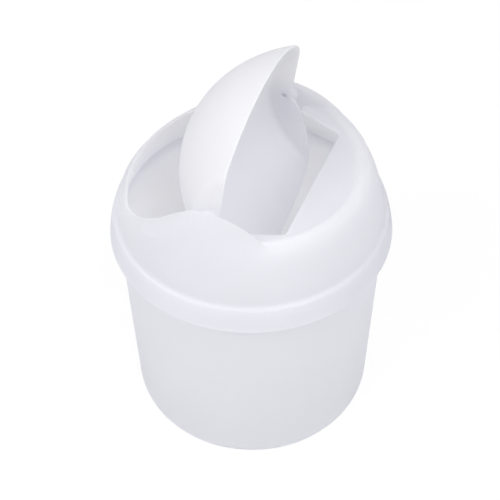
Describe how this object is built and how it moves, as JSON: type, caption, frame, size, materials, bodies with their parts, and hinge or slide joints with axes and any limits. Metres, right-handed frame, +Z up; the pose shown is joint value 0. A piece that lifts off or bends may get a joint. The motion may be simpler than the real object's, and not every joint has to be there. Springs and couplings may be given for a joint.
{
  "type": "swing lid waste bin",
  "caption": "Round countertop waste bin: tapered bucket, lift-off domed lid, and a swing flap hung on moulded pins across a channel in the dome.",
  "frame": {"origin": "on the ground under the middle of the bucket's base", "axes": "+Z up; +Y along the flap's pivot axis; +X from the lid's open mouth towards its ledge"},
  "size_m": [0.17, 0.17, 0.2639],
  "materials": {
    "bucket_plastic": "semi-gloss moulded polypropylene",
    "lid_plastic": "semi-gloss moulded polypropylene",
    "flap_plastic": "semi-gloss moulded polypropylene"
  },
  "bodies": {
    "bucket": {"bucket": "bucket_plastic"},
    "lid": {"lid": "lid_plastic"},
    "flap": {"flap": "flap_plastic"}
  },
  "joints": [
    {"name": "lid_lift", "type": "slide", "parent": "bucket", "child": "lid", "axis": [0, 0, 1], "range_m": [0, 0.04]},
    {"name": "flap_swing", "type": "hinge", "parent": "lid", "child": "flap", "pos_m": [-0.0006, 0, 0.19635], "axis": [0, 1, 0], "range_deg": [0, 82]}
  ]
}
